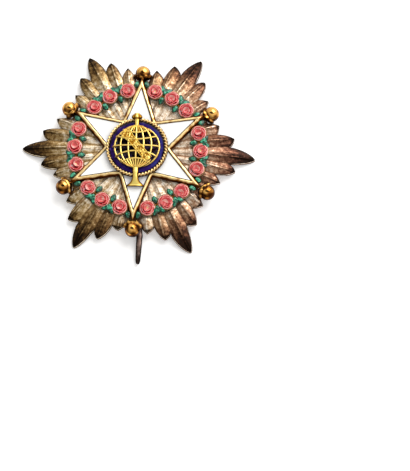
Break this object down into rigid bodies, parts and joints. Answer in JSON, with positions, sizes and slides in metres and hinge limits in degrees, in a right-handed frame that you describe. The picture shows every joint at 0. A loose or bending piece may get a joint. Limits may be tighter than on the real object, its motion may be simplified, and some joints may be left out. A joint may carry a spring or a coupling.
{
  "type": "breast star insignia of an order",
  "caption": "Rayed silver breast star with a gilt enamelled star, a wreath of enamel roses, gilt balls, an armillary sphere on blue enamel, and a brooch pin at the back.",
  "frame": {"origin": "centre of the star, on the surface that the star lies on face up, at the end face of the centre nut", "axes": "+Z out of the star's front, +Y towards its top arm, +X to the wearer's left as seen from the front"},
  "size_m": [0.0843, 0.0783, 0.0104],
  "materials": {
    "toned_silver": "struck silver, bright in the middle and toned brown to black at the ray tips",
    "gilt": "fire gilding over silver, polished on edges and browned in recesses",
    "white_enamel": "smooth glossy opaque white enamel",
    "blue_enamel": "deep violet-blue translucent enamel",
    "green_enamel": "glossy translucent emerald enamel",
    "rose_enamel": "glossy painted enamel, salmon pink with crimson recesses",
    "dark_steel": "dark brown-black oxidised steel"
  },
  "bodies": {
    "root": {"ray_plate": "toned_silver", "cap_nut": "toned_silver", "hinge_rivet": "toned_silver", "star_frame": "gilt", "medallion_setting": "gilt", "armillary": "gilt", "enamel_disc": "blue_enamel", "brooch_pin": "dark_steel", "enamel_arm_1": "white_enamel", "enamel_arm_2": "white_enamel", "enamel_arm_3": "white_enamel", "enamel_arm_4": "white_enamel", "enamel_arm_5": "white_enamel", "enamel_arm_6": "white_enamel", "ball_1": "gilt", "ball_2": "gilt", "ball_3": "gilt", "ball_4": "gilt", "ball_5": "gilt", "ball_6": "gilt", "wreath_base_1": "gilt", "wreath_base_2": "gilt", "wreath_base_3": "gilt", "wreath_base_4": "gilt", "wreath_base_5": "gilt", "wreath_base_6": "gilt", "leaves_1": "green_enamel", "leaves_2": "green_enamel", "leaves_3": "green_enamel", "leaves_4": "green_enamel", "leaves_5": "green_enamel", "leaves_6": "green_enamel", "rose_01": "rose_enamel", "rose_02": "rose_enamel", "rose_03": "rose_enamel", "rose_04": "rose_enamel", "rose_05": "rose_enamel", "rose_06": "rose_enamel", "rose_07": "rose_enamel", "rose_08": "rose_enamel", "rose_09": "rose_enamel", "rose_10": "rose_enamel", "rose_11": "rose_enamel", "rose_12": "rose_enamel", "rose_13": "rose_enamel", "rose_14": "rose_enamel", "rose_15": "rose_enamel", "rose_16": "rose_enamel", "rose_17": "rose_enamel", "rose_18": "rose_enamel"}
  },
  "joints": []
}
